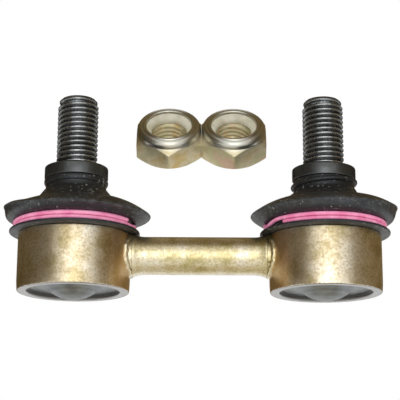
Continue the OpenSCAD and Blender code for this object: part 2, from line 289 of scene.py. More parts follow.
# Welds
# A bead of steel squeezed out between the bar's flat end and the housing's round side, plated with them.
# It follows the saddle-shaped line where the bar meets the housing, and is lumpy, as squeezed metal is.
BEAD_R = 0.78
BEAD_PATH_R = 4.95
BEAD_UNEVEN = 0.7
BEAD_LUMP = 1.2
PATH_POINTS = 144
ROUND_POINTS = 16
WELD_CORE_R = 4.9
WELD_CORE_FROM = BAR_HALF - 0.05
WELD_CORE_TO = 18.6


def new_shape(name, sizes):
    """A geometry tree with named size inputs and a material input."""
    tree = bpy.data.node_groups.new(name, "GeometryNodeTree")
    tree.interface.new_socket("Geometry", in_out="OUTPUT", socket_type="NodeSocketGeometry")
    for size, kind in sizes.items():
        tree.interface.new_socket(size, in_out="INPUT", socket_type=f"NodeSocket{kind}")
    tree.interface.new_socket("Material", in_out="INPUT", socket_type="NodeSocketMaterial")
    return tree, add_node(tree, "NodeGroupInput", {})


def close_shape(tree, sizes, geometry):
    """Ends a geometry tree: instances become real, and the material is set."""
    real = add_node(tree, "GeometryNodeRealizeInstances", {"Geometry": geometry})
    painted = add_node(tree, "GeometryNodeSetMaterial", {
        "Geometry": real[0], "Material": sizes["Material"]})
    add_node(tree, "NodeGroupOutput", {"Geometry": painted[0]})


def realised(tree, material, **values):
    """The plain mesh that a geometry tree makes from these sizes."""
    holder = bpy.data.objects.new(tree.name, bpy.data.meshes.new(tree.name))
    bpy.context.scene.collection.objects.link(holder)
    modifier = holder.modifiers.new("shape", "NODES")
    modifier.node_group = tree
    for socket in tree.interface.items_tree:
        if socket.in_out == "INPUT":
            key = socket.name.lower().replace(" ", "_")
            modifier[socket.identifier] = material if key == "material" else values[key]
    evaluated = holder.evaluated_get(bpy.context.evaluated_depsgraph_get())
    mesh = bpy.data.meshes.new_from_object(evaluated)
    holder.modifiers.remove(modifier)
    bpy.data.objects.remove(holder)
    return mesh


weld_tree, sizes = new_shape("weld_bead", {
    "Side": "Float", "Joint x": "Float", "Housing radius": "Float", "Bar axis": "Float",
    "Path radius": "Float", "Bead radius": "Float", "Uneven": "Float", "Lump": "Float",
    "Core radius": "Float", "Core middle": "Float", "Core length": "Float"})
path = add_node(weld_tree, "GeometryNodeCurvePrimitiveCircle", {
    "Resolution": PATH_POINTS, "Radius": sizes["Path radius"]})
on_path = add_node(weld_tree, "GeometryNodeInputPosition", {})
flat = add_node(weld_tree, "ShaderNodeSeparateXYZ", {"Vector": on_path[0]})
wall_squared = add_node(weld_tree, "ShaderNodeMath", {
    0: sizes["Housing radius"], 1: 2.0}, operation="POWER")
out_squared = add_node(weld_tree, "ShaderNodeMath", {0: flat["X"], 1: 2.0}, operation="POWER")
left_over = add_node(weld_tree, "ShaderNodeMath", {
    0: wall_squared[0], 1: out_squared[0]}, operation="SUBTRACT")
wall_depth = add_node(weld_tree, "ShaderNodeMath", {0: left_over[0]}, operation="SQRT")
wall_x = add_node(weld_tree, "ShaderNodeMath", {
    0: sizes["Joint x"], 1: wall_depth[0]}, operation="SUBTRACT")
side_x = add_node(weld_tree, "ShaderNodeMath", {0: wall_x[0], 1: sizes["Side"]}, operation="MULTIPLY")
up_z = add_node(weld_tree, "ShaderNodeMath", {0: flat["Y"], 1: sizes["Bar axis"]}, operation="ADD")
saddle = add_node(weld_tree, "ShaderNodeCombineXYZ", {"X": side_x[0], "Y": flat["X"], "Z": up_z[0]})
saddle_path = add_node(weld_tree, "GeometryNodeSetPosition", {"Geometry": path[0], "Position": saddle[0]})
bead_round = add_node(weld_tree, "GeometryNodeCurvePrimitiveCircle", {
    "Resolution": ROUND_POINTS, "Radius": sizes["Bead radius"]})
bead = add_node(weld_tree, "GeometryNodeCurveToMesh", {
    "Curve": saddle_path[0], "Profile Curve": bead_round[0]})
lumps = add_node(weld_tree, "ShaderNodeTexNoise", {
    "Scale": sizes["Lump"], "Detail": 2.0}, noise_dimensions="3D")
swell = add_node(weld_tree, "ShaderNodeMath", {0: lumps["Fac"], 1: 0.5}, operation="SUBTRACT")
swell_by = add_node(weld_tree, "ShaderNodeMath", {0: swell[0], 1: sizes["Uneven"]}, operation="MULTIPLY")
outward = add_node(weld_tree, "GeometryNodeInputNormal", {})
push = add_node(weld_tree, "ShaderNodeVectorMath", {
    0: outward[0], "Scale": swell_by[0]}, operation="SCALE")
lumpy = add_node(weld_tree, "GeometryNodeSetPosition", {"Geometry": bead[0], "Offset": push[0]})
core_x = add_node(weld_tree, "ShaderNodeMath", {
    0: sizes["Core middle"], 1: sizes["Side"]}, operation="MULTIPLY")
core_at = add_node(weld_tree, "ShaderNodeCombineXYZ", {"X": core_x[0], "Z": sizes["Bar axis"]})
core = add_node(weld_tree, "GeometryNodeMeshCylinder", {
    "Vertices": COLUMNS, "Radius": sizes["Core radius"], "Depth": sizes["Core length"]})
core_placed = add_node(weld_tree, "GeometryNodeTransform", {
    "Geometry": core["Mesh"], "Translation": core_at[0], "Rotation": (0, math.pi / 2, 0)})
# The union takes the core and the lumpy bead through the same input.
fused = add_node(weld_tree, "GeometryNodeMeshBoolean", {"Mesh 2": core_placed[0]}, operation="UNION")
feed(weld_tree, fused[0].node, {"Mesh 2": lumpy[0]})
close_shape(weld_tree, sizes, fused[0])

for side, sign in SIDES.items():
    mesh = realised(
        weld_tree, zinc, side=sign, joint_x=JOINT_X * MM, housing_radius=HOUSING_R * MM,
        bar_axis=BAR_AXIS * MM, path_radius=BEAD_PATH_R * MM, bead_radius=BEAD_R * MM,
        uneven=BEAD_UNEVEN * MM, lump=per(BEAD_LUMP), core_radius=WELD_CORE_R * MM,
        core_middle=(WELD_CORE_FROM + WELD_CORE_TO) / 2 * MM,
        core_length=(WELD_CORE_TO - WELD_CORE_FROM) * MM)
    weld = shown(f"{side}_weld_bead", mesh, zinc)
    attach(weld, "link")
    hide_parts(f"{side}_weld")


# Ball studs
# One forging each: ball, neck, cone, seat for the boot, round collar, and a rolled M10 x 1.25 thread.
# Its crests stand 0.2 mm further out than M10, as they measure in the photograph.
# Phosphated black and oiled; the ball sits in the plastic seats, and the thread takes the lock nut.
BALL_Z = 9.8
BALL_R = 7.5
NECK_R = 5.0
THREAD_R = 5.2
THREAD_ROOT_R = 4.45
TIP_R = 4.9
TIP_H = 1.45
TIP_CHAMFER = 0.75
PITCH = 1.25
ROWS_PER_PITCH = 8
THREAD_START = 32.0
TIP_Z = 50.4
CREST_SHARE = 0.15
ROOT_SHARE = 0.43
CONE_LOW = 18.3
SEAT_LOW = 23.3
SEAT_R = 6.5
COLLAR_LOW = 28.9
COLLAR_R = 8.05
BALL_STEPS = 24


def wound(tree, angle, radius, height):
    """The place at an angle, radius and height round the axis, worked out by nodes."""
    cosine = add_node(tree, "ShaderNodeMath", {0: angle}, operation="COSINE")
    sine = add_node(tree, "ShaderNodeMath", {0: angle}, operation="SINE")
    x = add_node(tree, "ShaderNodeMath", {0: radius, 1: cosine[0]}, operation="MULTIPLY")
    y = add_node(tree, "ShaderNodeMath", {0: radius, 1: sine[0]}, operation="MULTIPLY")
    return add_node(tree, "ShaderNodeCombineXYZ", {"X": x[0], "Y": y[0], "Z": height})[0]


thread_tree, sizes = new_shape("rolled_thread", {
    "Crest radius": "Float", "Root radius": "Float", "Pitch": "Float", "Start": "Float", "End": "Float",
    "Run in": "Float", "Run out": "Float", "Turns": "Float", "Rows": "Int", "Columns": "Int"})
sheet = add_node(thread_tree, "GeometryNodeMeshGrid", {
    "Size X": 1.0, "Size Y": 1.0, "Vertices X": sizes["Columns"], "Vertices Y": sizes["Rows"]})
spot = add_node(thread_tree, "GeometryNodeInputPosition", {})
flat = add_node(thread_tree, "ShaderNodeSeparateXYZ", {"Vector": spot[0]})
turn = add_node(thread_tree, "ShaderNodeMath", {0: flat["X"], 1: 0.5}, operation="ADD")
climb = add_node(thread_tree, "ShaderNodeMath", {0: flat["Y"], 1: 0.5}, operation="ADD")
climbed = add_node(thread_tree, "ShaderNodeMath", {
    0: climb[0], 1: sizes["Turns"], 2: turn[0]}, operation="MULTIPLY_ADD")
lifted = add_node(thread_tree, "ShaderNodeMath", {0: climbed[0], 1: 1.0}, operation="SUBTRACT")
height = add_node(thread_tree, "ShaderNodeMath", {
    0: lifted[0], 1: sizes["Pitch"], 2: sizes["Start"]}, operation="MULTIPLY_ADD")
level = add_node(thread_tree, "ShaderNodeClamp", {
    "Value": height[0], "Min": sizes["Start"], "Max": sizes["End"]})
above = add_node(thread_tree, "ShaderNodeMath", {0: level[0], 1: sizes["Start"]}, operation="SUBTRACT")
below = add_node(thread_tree, "ShaderNodeMath", {0: sizes["End"], 1: level[0]}, operation="SUBTRACT")
pitches = add_node(thread_tree, "ShaderNodeMath", {0: above[0], 1: sizes["Pitch"]}, operation="DIVIDE")
behind = add_node(thread_tree, "ShaderNodeMath", {0: pitches[0], 1: turn[0]}, operation="SUBTRACT")
phase = add_node(thread_tree, "ShaderNodeMath", {0: behind[0], 1: 0.5}, operation="PINGPONG")
ridge = add_node(thread_tree, "ShaderNodeMapRange", {
    "Value": phase[0], "From Min": CREST_SHARE, "From Max": ROOT_SHARE, "To Min": 1.0, "To Max": 0.0})
fade_in = add_node(thread_tree, "ShaderNodeMapRange", {
    "Value": above[0], "From Min": 0.0, "From Max": sizes["Run in"]})
fade_out = add_node(thread_tree, "ShaderNodeMapRange", {
    "Value": below[0], "From Min": 0.0, "From Max": sizes["Run out"]})
fades = add_node(thread_tree, "ShaderNodeMath", {0: fade_in[0], 1: fade_out[0]}, operation="MULTIPLY")
ridge_size = add_node(thread_tree, "ShaderNodeMath", {0: ridge[0], 1: fades[0]}, operation="MULTIPLY")
depth = add_node(thread_tree, "ShaderNodeMath", {
    0: sizes["Crest radius"], 1: sizes["Root radius"]}, operation="SUBTRACT")
radius = add_node(thread_tree, "ShaderNodeMath", {
    0: ridge_size[0], 1: depth[0], 2: sizes["Root radius"]}, operation="MULTIPLY_ADD")
angle = add_node(thread_tree, "ShaderNodeMath", {0: turn[0], 1: 2 * math.pi}, operation="MULTIPLY")
coil = add_node(thread_tree, "GeometryNodeSetPosition", {
    "Geometry": sheet["Mesh"], "Position": wound(thread_tree, angle[0], radius[0], level[0])})
joined = add_node(thread_tree, "GeometryNodeMergeByDistance", {
    "Geometry": coil[0], "Distance": SAME_PLACE * MM})
close_shape(thread_tree, sizes, joined[0])


def thread(material, crest, root, start, end, run_in, run_out):
    """A helical thread between two heights in mm; at both it fades to a plain circle of the root."""
    turns = math.ceil((end - start) / PITCH + 2)
    return realised(
        thread_tree, material, crest_radius=crest * MM, root_radius=root * MM, pitch=PITCH * MM,
        start=start * MM, end=end * MM, run_in=run_in * MM, run_out=run_out * MM, turns=float(turns),
        rows=turns * ROWS_PER_PITCH + 1, columns=COLUMNS + 1)


# Manganese phosphate, oiled: a fine crystalline grey-black skin with a dull sheen. The thread is paler than
# the collar: its crests and sharp edges are painted pale grey, partly as bare metal where abraded and
# partly as a painted highlight.
phosphate, tree, shader, place = new_finish(
    "black_phosphate_steel", Metallic=0.9, Coat_Weight=0.1, Coat_Roughness=0.3,
    Specular_Tint=linear("#606060"))
crystal = add_node(tree, "ShaderNodeTexNoise", {
    "Vector": place, "Scale": per(0.5), "Detail": 4.0, "Roughness": 0.7})
patch = add_node(tree, "ShaderNodeTexNoise", {"Vector": place, "Scale": per(3.5), "Detail": 2.0})
skin_grey = add_node(tree, "ShaderNodeValToRGB", {
    "Fac": crystal["Fac"]}, stops=[(0.35, "#626566"), (0.7, "#a0a3a4")])
patch_grey = add_node(tree, "ShaderNodeValToRGB", {
    "Fac": patch["Fac"]}, stops=[(0.4, "#b4b4b0"), (0.62, "#ffffff")])
phosphate_grey = add_node(tree, "ShaderNodeMix", {
    0: 0.8, 6: skin_grey["Color"], 7: patch_grey["Color"]}, data_type="RGBA", blend_type="MULTIPLY")
height, out = round_joint(tree, place)[1:]
on_collar = add_node(tree, "ShaderNodeMapRange", {
    "Value": height, "From Min": (THREAD_START - 0.1) * MM, "From Max": (THREAD_START + 0.5) * MM,
    "To Min": 0.8, "To Max": 0.0})
collar_black = add_node(tree, "ShaderNodeMix", {
    0: on_collar["Result"], 6: phosphate_grey[2], 7: linear("#363939")}, data_type="RGBA")
# Sharp edges and thread crests are painted pale grey: partly bare metal where abraded, partly a painted
# highlight.
pointed = add_node(tree, "ShaderNodeNewGeometry", {})
edge = add_node(tree, "ShaderNodeMapRange", {
    "Value": pointed["Pointiness"], "From Min": 0.505, "From Max": 0.58, "To Min": 0.0, "To Max": 0.3})
edge_wear_and_highlight = add_node(tree, "ShaderNodeMix", {
    0: edge["Result"], 6: collar_black[2], 7: linear("#c6c8c6")}, data_type="RGBA")
at_crest = add_node(tree, "ShaderNodeMapRange", {
    "Value": out, "From Min": (THREAD_ROOT_R + 0.15) * MM, "From Max": (THREAD_R - 0.05) * MM,
    "To Min": 0.0, "To Max": 0.4})
above_collar = add_node(tree, "ShaderNodeMath", {
    0: height, 1: (THREAD_START + 0.3) * MM}, operation="GREATER_THAN")
crest_wear_and_highlight = add_node(tree, "ShaderNodeMath", {
    0: at_crest["Result"], 1: above_collar[0]}, operation="MULTIPLY")
crests_and_painted_highlight = add_node(tree, "ShaderNodeMix", {
    0: crest_wear_and_highlight[0], 6: edge_wear_and_highlight[2], 7: linear("#c4c7c6")}, data_type="RGBA")
sheen_of_oil = add_node(tree, "ShaderNodeMapRange", {
    "Value": patch["Fac"], "From Min": 0.3, "From Max": 0.7, "To Min": 0.28, "To Max": 0.18})
collar_dull = add_node(tree, "ShaderNodeMath", {
    0: on_collar["Result"], 1: 0.2, 2: sheen_of_oil["Result"]}, operation="MULTIPLY_ADD")
crystal_bump = add_node(tree, "ShaderNodeBump", {
    "Height": crystal["Fac"], "Strength": 0.4, "Distance": 0.06 * MM})
feed(tree, shader, {
    "Base Color": crests_and_painted_highlight[2], "Roughness": collar_dull[0], "Normal": crystal_bump["Normal"]})

neck_angle = math.acos(NECK_R / BALL_R)
ball = []
for i in range(1, BALL_STEPS + 1):
    a = -math.pi / 2 + (neck_angle + math.pi / 2) * i / BALL_STEPS
    ball.append((BALL_R * math.cos(a), BALL_Z + BALL_R * math.sin(a)))
shank = eased([
    (NECK_R, ball[-1][1], 0), (NECK_R, CONE_LOW, 0.6), (SEAT_R, SEAT_LOW, 0.6), (SEAT_R, COLLAR_LOW, 0.2),
    (COLLAR_R, COLLAR_LOW, 0.3), (COLLAR_R, THREAD_START, 0.45), (THREAD_ROOT_R + 0.5, THREAD_START, 0.2),
    (THREAD_ROOT_R, THREAD_START, 0)])
tip = eased([
    (THREAD_ROOT_R, TIP_Z - TIP_H, 0), (TIP_R, TIP_Z - TIP_H + 0.35, 0.15),
    (TIP_R, TIP_Z - TIP_CHAMFER, 0.3), (TIP_R - TIP_CHAMFER, TIP_Z, 0.25), (1.2, TIP_Z, 0.1),
    (0, TIP_Z - 0.35, 0)])
for side in SIDES:
    grown = thread(phosphate, THREAD_R, THREAD_ROOT_R, THREAD_START, TIP_Z - TIP_H, run_in=0.9, run_out=0.7)
    lower = [ring(0, BALL_Z - BALL_R)] + [ring(r, z) for r, z in ball + shank[1:]]
    upper = [ring(r, z) for r, z in tip]
    stud = skin(f"{side}_stud_forging", [lower, upper], joint_place[side], phosphate, grown=grown)
    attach(stud, f"{side}_stud")
    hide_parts(f"{side}_ball_stud")


# Ball seats
# Two moulded plastic half bearings in each housing, lower and upper, that the ball turns in.
# They are hidden inside the closed joint, so the frame's own solids stay, with a plastic finish.
# Acetal: creamy white, waxy and smooth, with a faint flow pattern from the mould.
acetal, tree, shader, place = new_finish("moulded_acetal", Roughness=0.38, IOR=1.48)
flow = add_node(tree, "ShaderNodeTexNoise", {"Vector": place, "Scale": per(4), "Detail": 2.0})
cream = add_node(tree, "ShaderNodeValToRGB", {
    "Fac": flow["Fac"]}, stops=[(0.35, "#dcd7c8"), (0.65, "#ece8dc")])
feed(tree, shader, {"Base Color": cream["Color"]})
for side in SIDES:
    for half in ("lower", "upper"):
        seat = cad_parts[f"{side}_{half}_seat"]
        seat.data.materials.clear()
        seat.data.materials.append(acetal)


# End plugs
# A pressed steel plate closes each housing from below, with a dome that bulges past the rim.
# The rolled rim holds its flat edge; it is left grey, and the press leaves faint rings round the dome.
PLUG_R = 12.13
DOME_Z = 7.6
DOME_R = 9.4
DOME_IN_R = 8.0
DOME_STEPS = 14
DOME_FOOT = 0.25
FOOT_BEND = 0.75

# Pressed mild steel under a thin grey zinc wash: soft grey, evenly dull, with rings of the press tool.
plug_steel, tree, shader, place = new_finish("pressed_grey_steel", Metallic=1.0)
out = round_joint(tree, place)[2]
ring_at = add_node(tree, "ShaderNodeCombineXYZ", {"X": out})
rings = add_node(tree, "ShaderNodeTexNoise", {"Vector": ring_at[0], "Scale": per(0.9), "Detail": 2.0})
stain = add_node(tree, "ShaderNodeTexNoise", {"Vector": place, "Scale": per(3), "Detail": 4.0})
wash = add_node(tree, "ShaderNodeMix", {0: 0.45, 2: stain["Fac"], 3: rings["Fac"]}, data_type="FLOAT")
wash_grey = add_node(tree, "ShaderNodeValToRGB", {
    "Fac": wash[0]}, stops=[(0.38, "#6f7273"), (0.62, "#949899")])
wash_dull = add_node(tree, "ShaderNodeMapRange", {
    "Value": stain["Fac"], "From Min": 0.3, "From Max": 0.7, "To Min": 0.38, "To Max": 0.52})
ring_bump = add_node(tree, "ShaderNodeBump", {
    "Height": rings["Fac"], "Strength": 0.25, "Distance": 0.05 * MM})
feed(tree, shader, {
    "Base Color": wash_grey["Color"], "Roughness": wash_dull["Result"], "Normal": ring_bump["Normal"]})


def dome_arc(radius, until, steps):
    """Points up the dome, from its lowest point to a height in mm."""
    last = math.acos((DOME_Z - until) / radius)
    angles = [last * i / steps for i in range(steps + 1)]
    return [(radius * math.sin(a), DOME_Z - radius * math.cos(a)) for a in angles]


outer = dome_arc(DOME_R, RIM_H - DOME_FOOT, DOME_STEPS)[1:]
inner = dome_arc(DOME_IN_R, PLUG_SEAT, DOME_STEPS)[1:]
plate = eased([
    outer[-1], (outer[-1][0] + FOOT_BEND, RIM_H, 0.5), (PLUG_R, RIM_H, 0.1), (PLUG_R, PLUG_SEAT, 0.1),
    inner[-1]])
for side in SIDES:
    profile = [(0, DOME_Z - DOME_R), *outer[:-1], *plate, *reversed(inner[:-1]), (0, DOME_Z - DOME_IN_R)]
    plug = skin(f"{side}_plug_dome", [[ring(r, z) for r, z in profile]], joint_place[side], plug_steel)
    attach(plug, "link")
    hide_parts(f"{side}_end_plug")


# Boots
# A moulded rubber gaiter on each joint: a bead on the housing's shoulder, a seat for the clip, a wide
# flared skirt, a crown, and a bead that grips the stud under its collar. It has set askew: the skirt leans
# to the bar and sags in front, the left crown is sunk on its outer side, and the right bead is tilted.
BOOT_COLUMNS = 144
SET_LEAN = {"left": 0.55, "right": 0.2}
SET_SLOPE = 0.04
SET_LIFT = {"left": 0.3, "right": 0.5}
SET_R = {"left": (9.0, 18.0), "right": (8.2, 12.0)}
SET_Z = (18.4, 19.7)
LIP_WAVE = 0.08
LIP_WAVES = 3
NECK_BEAD = {"left": (28.05, 0.4, 0.8), "right": (27.75, 0.75, 0.65)}
BEAD_TILT = {"left": 0.0, "right": 0.068}
TILT_Z = (24.6, 26.4)
TILT_END_Z = (28.2, 28.85)
CROWN_SINK = {"left": 0.65, "right": 0.0}
SINK_X = (0.0, 12.0)
SINK_Z = (20.6, 21.6)
SINK_R = (8.4, 10.5)
SINK_END_R = (17.0, 18.4)
FRONT_SAG = {"left": 0.9, "right": 0.35}
SAG_Y = (4.0, 17.0)
BOOT_FIT = 0.05
FOOT_AT = (16.03, 15.014)
FOOT_EDGE = 0.35
CLIP_SEAT_R = 14.43
CLIP_SEAT_TOP = 17.614
CROWN_AT = (11.0, 23.15)
GRIP_R = 6.55
SKIRT_R = 18.5
LIP_SCUFF_AND_HIGHLIGHT_R = (17.0, 18.3)


def arc(centre, radii, start, end, steps):
    """Points on an arc between two angles in degrees."""
    angles = [math.radians(start + (end - start) * i / steps) for i in range(steps + 1)]
    return [(centre[0] + radii[0] * math.cos(a), centre[1] + radii[1] * math.sin(a)) for a in angles]


def curve(a, b, c, d, steps):
    """Points on a cubic curve."""
    points = []
    for i in range(steps + 1):
        t = i / steps
        parts = ((1 - t) ** 3, 3 * t * (1 - t) ** 2, 3 * t ** 2 * (1 - t), t ** 3)
        points.append(tuple(sum(w * p[k] for w, p in zip(parts, (a, b, c, d))) for k in (0, 1)))
    return points


# Chloroprene rubber: near black, satin, with a moulded grain, pale specks of dust, and a lip painted grey,
# partly as wear and partly as a painted highlight.
rubber, tree, shader, place = new_finish(
    "moulded_boot_rubber", IOR=1.52, Coat_Weight=0.35, Coat_Roughness=0.45, Specular_Tint=linear("#e9eef8"))
bloom = add_node(tree, "ShaderNodeTexNoise", {
    "Vector": place, "Scale": per(5), "Detail": 4.0, "Roughness": 0.6})
black = add_node(tree, "ShaderNodeValToRGB", {
    "Fac": bloom["Fac"]}, stops=[(0.35, "#0f1010"), (0.7, "#1e1f1f")])
speck = add_node(tree, "ShaderNodeTexNoise", {
    "Vector": place, "Scale": per(0.75), "Detail": 1.0, "Roughness": 0.5})
dust = add_node(tree, "ShaderNodeMapRange", {
    "Value": speck["Fac"], "From Min": 0.665, "From Max": 0.75, "To Min": 0.0, "To Max": 0.85})
dusty = add_node(tree, "ShaderNodeMix", {
    0: dust["Result"], 6: black["Color"], 7: linear("#8d8a85")}, data_type="RGBA")
# Near its edge the lip is painted grey, partly as wear marks and partly as a painted highlight of the lamp;
# a noise breaks it up.
out = round_joint(tree, place)[2]
near_lip = add_node(tree, "ShaderNodeMapRange", {
    "Value": out, "From Min": LIP_SCUFF_AND_HIGHLIGHT_R[0] * MM, "From Max": LIP_SCUFF_AND_HIGHLIGHT_R[1] * MM})
scuff = add_node(tree, "ShaderNodeTexNoise", {
    "Vector": place, "Scale": per(1.3), "Detail": 5.0, "Roughness": 0.75})
scuff_and_highlight_spots = add_node(tree, "ShaderNodeMapRange", {
    "Value": scuff["Fac"], "From Min": 0.44, "From Max": 0.74, "To Min": 0.0, "To Max": 0.5})
lip_scuff_and_painted_highlight = add_node(tree, "ShaderNodeMath", {
    0: near_lip["Result"], 1: scuff_and_highlight_spots["Result"]}, operation="MULTIPLY")
lip_grey_and_painted_highlight = add_node(tree, "ShaderNodeMix", {
    0: lip_scuff_and_painted_highlight[0], 6: dusty[2], 7: linear("#696b6b")}, data_type="RGBA")
satin = add_node(tree, "ShaderNodeMapRange", {
    "Value": bloom["Fac"], "From Min": 0.3, "From Max": 0.7, "To Min": 0.62, "To Max": 0.45})
moulded = add_node(tree, "ShaderNodeTexNoise", {"Vector": place, "Scale": per(0.6), "Detail": 3.0})
rubber_bump = add_node(tree, "ShaderNodeBump", {
    "Height": moulded["Fac"], "Strength": 0.7, "Distance": 0.12 * MM})
feed(tree, shader, {
    "Base Color": lip_grey_and_painted_highlight[2], "Roughness": satin["Result"], "Normal": rubber_bump["Normal"]})


def boot_profile(bead_z, bead_out, bead_half):
    """The gaiter's closed section, from its foot up the outside and back down the inside."""
    low = SHOULDER_Z + BOOT_FIT
    top = GROOVE_TOP - BOOT_FIT
    return [
        (GROOVE_R + BOOT_FIT, low), (HOUSING_R, low), *arc(FOOT_AT, (FOOT_EDGE, FOOT_EDGE), -70, 90, 8),
        (14.6, FOOT_AT[1] + FOOT_EDGE), (CLIP_SEAT_R, 15.45), (CLIP_SEAT_R, 17.5), (14.52, CLIP_SEAT_TOP),
        *curve((15.43, CLIP_SEAT_TOP), (16.5, 17.85), (17.85, 18.75), (SKIRT_R, 19.95), 12),
        *curve((18.36, 20.07), (17.0, 20.95), (14.4, 22.8), CROWN_AT, 18),
        *curve(CROWN_AT, (10.0, 23.35), (8.5, 25.2), (7.65, 26.3), 12)[1:],
        *arc((7.7, bead_z), (bead_out, bead_half), -90, 90, 12), (7.6, 28.86),
        (6.75, 28.85), (GRIP_R, 28.65), (GRIP_R, 24.5),
        *curve((6.85, 23.4), (8.2, 21.5), (14.33, 20.964), (15.73, 19.564), 14),
        (FLANGE_R + 0.1, HOUSING_TOP + 0.2), (FLANGE_R + 0.1, top), (GROOVE_R + BOOT_FIT, top)]


boot_angles = [2 * math.pi * k / BOOT_COLUMNS for k in range(BOOT_COLUMNS)]


def rise(value, low, high):
    """Smooth step from 0 at the low value to 1 at the high one."""
    t = min(1, max(0, (value - low) / (high - low)))
    return t * t * (3 - 2 * t)


def settled(point, side):
    """A boot point as the rubber has set."""
    x, y, z = point
    sign = SIDES[side]
    reach = math.hypot(x, y)
    share = rise(reach, *SET_R[side]) * rise(z, *SET_Z)
    neck = rise(z, *TILT_Z) * (1 - rise(z, *TILT_END_Z))
    outside = rise(sign * x, *SINK_X) * rise(z, *SINK_Z)
    sink = CROWN_SINK[side] * outside * rise(reach, *SINK_R) * (1 - rise(reach, *SINK_END_R))
    wave = LIP_WAVE * math.sin(LIP_WAVES * math.atan2(y, x) + sign)
    lift = SET_LIFT[side] + sign * SET_SLOPE * x + wave - FRONT_SAG[side] * rise(-y, *SAG_Y)
    return x - sign * SET_LEAN[side] * share, y, z + lift * share + BEAD_TILT[side] * x * neck - sink


for side, sign in SIDES.items():
    rows = [[settled(p, side) for p in ring(r, z, boot_angles)] for r, z in boot_profile(*NECK_BEAD[side])]
    boot = skin(f"{side}_boot_gaiter", [rows], joint_place[side], rubber, loop=True, sharp=50)
    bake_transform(boot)
    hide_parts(f"{side}_boot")


# Boot clips
# Two turns of spring wire in a pink coat squeeze each boot into the housing's groove.
# The wire lies flat for a turn, steps up beside itself and ends in a plain cut.
WIRE_R = 0.525
CLIP_R = 15.005
CLIP_LOW = 15.939
CLIP_RISE = 1.1
CLIP_SWEEP = 678
STEP_FROM = 324
STEP_TO = 354
CLIP_STARTS = {"left": 16, "right": 223}
WIRE_POINTS = 280

clip_tree, sizes = new_shape("clip_wire", {
    "Path radius": "Float", "Wire radius": "Float", "Low": "Float", "Rise": "Float", "Start angle": "Float",
    "Sweep": "Float", "Step from": "Float", "Step to": "Float", "Points": "Int"})
line = add_node(clip_tree, "GeometryNodeMeshLine", {"Count": sizes["Points"]})
wire_line = add_node(clip_tree, "GeometryNodeMeshToCurve", {"Mesh": line[0]})
index = add_node(clip_tree, "GeometryNodeInputIndex", {})
last = add_node(clip_tree, "ShaderNodeMath", {0: sizes["Points"], 1: 1.0}, operation="SUBTRACT")
share = add_node(clip_tree, "ShaderNodeMath", {0: index[0], 1: last[0]}, operation="DIVIDE")
swept = add_node(clip_tree, "ShaderNodeMath", {0: share[0], 1: sizes["Sweep"]}, operation="MULTIPLY")
bearing = add_node(clip_tree, "ShaderNodeMath", {0: swept[0], 1: sizes["Start angle"]}, operation="ADD")
step = add_node(clip_tree, "ShaderNodeMapRange", {
    "Value": swept[0], "From Min": sizes["Step from"], "From Max": sizes["Step to"]},
    interpolation_type="SMOOTHSTEP")
level = add_node(clip_tree, "ShaderNodeMath", {
    0: step[0], 1: sizes["Rise"], 2: sizes["Low"]}, operation="MULTIPLY_ADD")
wire_path = add_node(clip_tree, "GeometryNodeSetPosition", {
    "Geometry": wire_line[0], "Position": wound(clip_tree, bearing[0], sizes["Path radius"], level[0])})
wire_round = add_node(clip_tree, "GeometryNodeCurvePrimitiveCircle", {
    "Resolution": ROUND_POINTS, "Radius": sizes["Wire radius"]})
wire = add_node(clip_tree, "GeometryNodeCurveToMesh", {
    "Curve": wire_path[0], "Profile Curve": wire_round[0], "Fill Caps": True})
close_shape(clip_tree, sizes, wire[0])

# Pink powder coat on spring steel: an even, slightly glossy colour, scuffed paler here and there.
pink, tree, shader, place = new_finish("pink_coated_spring_wire", IOR=1.5)
scuff = add_node(tree, "ShaderNodeTexNoise", {"Vector": place, "Scale": per(2.2), "Detail": 4.0})
coat = add_node(tree, "ShaderNodeValToRGB", {
    "Fac": scuff["Fac"]}, stops=[(0.36, "#ee82ae"), (0.66, "#fca6c8")])
coat_gloss = add_node(tree, "ShaderNodeMapRange", {
    "Value": scuff["Fac"], "From Min": 0.3, "From Max": 0.7, "To Min": 0.3, "To Max": 0.45})
orange_peel = add_node(tree, "ShaderNodeTexNoise", {"Vector": place, "Scale": per(0.4), "Detail": 1.0})
coat_bump = add_node(tree, "ShaderNodeBump", {
    "Height": orange_peel["Fac"], "Strength": 0.15, "Distance": 0.03 * MM})
feed(tree, shader, {
    "Base Color": coat["Color"], "Roughness": coat_gloss["Result"], "Normal": coat_bump["Normal"]})

for side, start in CLIP_STARTS.items():
    mesh = realised(
        clip_tree, pink, path_radius=CLIP_R * MM, wire_radius=WIRE_R * MM, low=CLIP_LOW * MM,
        rise=CLIP_RISE * MM, start_angle=math.radians(start), sweep=math.radians(CLIP_SWEEP),
        step_from=math.radians(STEP_FROM), step_to=math.radians(STEP_TO), points=WIRE_POINTS)
    mesh.transform(joint_place[side])
    clip = shown(f"{side}_clip_wire", mesh, pink, sharp=60)
    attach(clip, "link")
    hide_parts(f"{side}_boot_clip")


# Lock nuts
# M10 hexagon nuts for a 17 mm key, with chamfered corners and a round edge rolled over a nylon ring.
# Steel, zinc plated with a pale passivation; they lie loose, tilted so that the nylon side shows.
NUT_TILT = 53
NUT_Y = 13.8
NUT_Z = 41.3
NUT_X = {"left": -8.25, "right": 8.85}
FLAT_R = 8.535
CORNER_R = 9.815
HEX_H = 6.0
ROLL_R = 8.4
ROLL_STEP = 0.1
ROLL_WALL = 0.7
ROLL_ROUND = (2.0, 1.7)
TOP_DROP = 1.1
FOOT_DROP = 0.9
MOUTH_R = 6.0
POCKET_R = 6.6
POCKET_LOW = 5.2
POCKET_TOP = 7.5
NUT_TOP = 8.4
NUT_BORE_R = 4.325
NUT_ROOT_R = 5.0
THREAD_LEAD = 0.35
HALF_SECTOR = [5, 10, 15, 20, 24.5, 27.4, 29.1]
SECTOR = [-d for d in reversed(HALF_SECTOR)] + [0] + HALF_SECTOR

